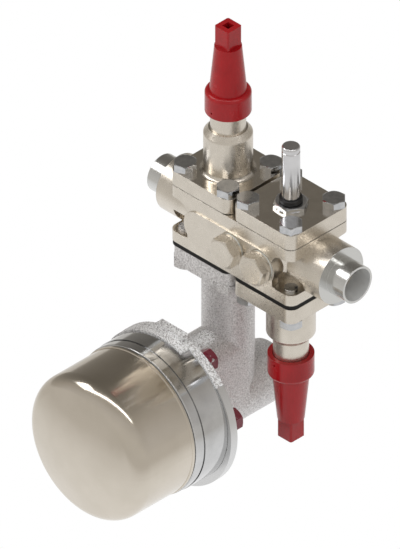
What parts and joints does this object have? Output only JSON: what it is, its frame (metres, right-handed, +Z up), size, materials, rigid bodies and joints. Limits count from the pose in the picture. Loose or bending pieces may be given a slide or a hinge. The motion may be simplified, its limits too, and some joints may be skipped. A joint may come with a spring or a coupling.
{
  "type": "refrigeration valve station",
  "caption": "Steel valve block for a refrigeration line with hand stop valves under red caps, a solenoid valve with a bare armature tube and a round float drain chamber.",
  "frame": {"origin": "centre of the inlet stub's weld face, on the pipe line's axis", "axes": "+X along the pipe line from inlet to outlet, -Y towards the float chamber, +Z up"},
  "size_m": [0.1964, 0.1999, 0.363],
  "materials": {
    "nickel_body": "satin nickel plating, warm beige",
    "bright_steel": "bright zinc plated steel",
    "cast_grey": "rough cast, silver grey paint",
    "machined_ring": "finely turned",
    "dome_steel": "satin warm beige",
    "red_cap": "glossy deep red",
    "gasket": "black fibre gasket",
    "rubber": "black rubber",
    "seal": "white PTFE",
    "inner_steel": "machined steel",
    "brass": "turned brass",
    "float_steel": "hollow stainless ball"
  },
  "bodies": {
    "station": {"valve_body": "nickel_body", "solenoid_cover": "nickel_body", "inlet_valve_bonnet": "nickel_body", "inlet_valve_gasket": "gasket", "inlet_valve_bolts": "bright_steel", "inlet_valve_insert": "inner_steel", "inlet_valve_packing": "seal", "inlet_valve_gland_nut": "inner_steel", "outlet_valve_bonnet": "nickel_body", "outlet_valve_gasket": "gasket", "outlet_valve_bolts": "bright_steel", "outlet_valve_insert": "inner_steel", "outlet_valve_packing": "seal", "outlet_valve_gland_nut": "inner_steel", "middle_side_plug": "nickel_body", "outlet_side_plug": "nickel_body", "side_plug_washers": "seal", "solenoid_gasket": "gasket", "solenoid_bolts": "bright_steel", "solenoid_insert": "inner_steel", "servo_spring": "inner_steel", "armature_tube": "bright_steel", "armature_tube_nut": "bright_steel", "armature_tube_ring": "rubber", "armature_spring": "inner_steel", "float_module_gasket": "gasket", "float_module_bolts": "bright_steel", "float_housing": "cast_grey", "float_insert": "inner_steel", "return_pipe": "inner_steel", "closing_plug": "bright_steel", "rim_bolts": "bright_steel", "rim_seal": "gasket", "chamber_ring": "machined_ring", "dome_seal": "gasket", "float_dome": "dome_steel", "pivot_pin": "inner_steel", "pivot_bracket": "inner_steel", "bracket_screws": "inner_steel", "drain_bush": "brass"},
    "inlet_cone": {"inlet_valve_cone": "inner_steel", "inlet_valve_cone_seal": "seal"},
    "inlet_spindle": {"inlet_valve_spindle": "inner_steel"},
    "inlet_cap_washer": {"inlet_valve_cap_washer": "seal"},
    "inlet_cap": {"inlet_valve_cap": "red_cap"},
    "outlet_cone": {"outlet_valve_cone": "inner_steel", "outlet_valve_cone_seal": "seal"},
    "outlet_spindle": {"outlet_valve_spindle": "inner_steel"},
    "outlet_cap_washer": {"outlet_valve_cap_washer": "seal"},
    "outlet_cap": {"outlet_valve_cap": "red_cap"},
    "armature": {"armature": "inner_steel"},
    "servo_piston": {"servo_piston": "inner_steel", "servo_piston_ring": "seal"},
    "float": {"float_ball": "float_steel", "float_lever": "inner_steel"},
    "needle": {"drain_needle": "inner_steel"}
  },
  "joints": [
    {"name": "inlet_cone_lift", "type": "slide", "parent": "station", "child": "inlet_cone", "axis": [0, 0, 1], "range_m": [0, 0.006]},
    {"name": "inlet_spindle_turn", "type": "hinge", "parent": "inlet_cone", "child": "inlet_spindle", "pos_m": [0.0667, 0, 0.08], "axis": [0, 0, 1], "range_deg": [0, 1440]},
    {"name": "inlet_cap_lift", "type": "slide", "parent": "station", "child": "inlet_cap_washer", "axis": [0, 0, 1], "range_m": [0, 0.009]},
    {"name": "inlet_cap_turn", "type": "hinge", "parent": "inlet_cap_washer", "child": "inlet_cap", "pos_m": [0.0667, 0, 0.12], "axis": [0, 0, 1], "range_deg": [0, 2160]},
    {"name": "outlet_cone_lift", "type": "slide", "parent": "station", "child": "outlet_cone", "axis": [0, 0, -1], "range_m": [0, 0.006]},
    {"name": "outlet_spindle_turn", "type": "hinge", "parent": "outlet_cone", "child": "outlet_spindle", "pos_m": [0.1297, 0, -0.08], "axis": [0, 0, -1], "range_deg": [0, 1440]},
    {"name": "outlet_cap_lift", "type": "slide", "parent": "station", "child": "outlet_cap_washer", "axis": [0, 0, -1], "range_m": [0, 0.009]},
    {"name": "outlet_cap_turn", "type": "hinge", "parent": "outlet_cap_washer", "child": "outlet_cap", "pos_m": [0.1297, 0, -0.12], "axis": [0, 0, -1], "range_deg": [0, 2160]},
    {"name": "armature_slide", "type": "slide", "parent": "station", "child": "armature", "axis": [0, 0, 1], "range_m": [0, 0.002], "stiffness_N_per_m": 300, "springref_m": -0.002, "deforming": ["armature_spring"]},
    {"name": "servo_piston_slide", "type": "slide", "parent": "station", "child": "servo_piston", "axis": [0, 0, 1], "range_m": [0, 0.004], "stiffness_N_per_m": 400, "springref_m": -0.003, "deforming": ["servo_spring"]},
    {"name": "float_swing", "type": "hinge", "parent": "station", "child": "float", "pos_m": [0.0667, -0.0745, -0.1445], "axis": [-1, 0, 0], "range_deg": [0, 44]},
    {"name": "needle_slide", "type": "slide", "parent": "station", "child": "needle", "axis": [0, -1, 0], "range_m": [0, 0.008]}
  ],
  "couplings": [
    {"joint": "inlet_spindle_turn", "follows": "inlet_cone_lift", "rad_per_m": 4188.8},
    {"joint": "inlet_cap_turn", "follows": "inlet_cap_lift", "rad_per_m": 4188.8},
    {"joint": "outlet_spindle_turn", "follows": "outlet_cone_lift", "rad_per_m": 4188.8},
    {"joint": "outlet_cap_turn", "follows": "outlet_cap_lift", "rad_per_m": 4188.8},
    {"joint": "needle_slide", "follows": "float_swing", "m_per_rad": 0.01024}
  ]
}
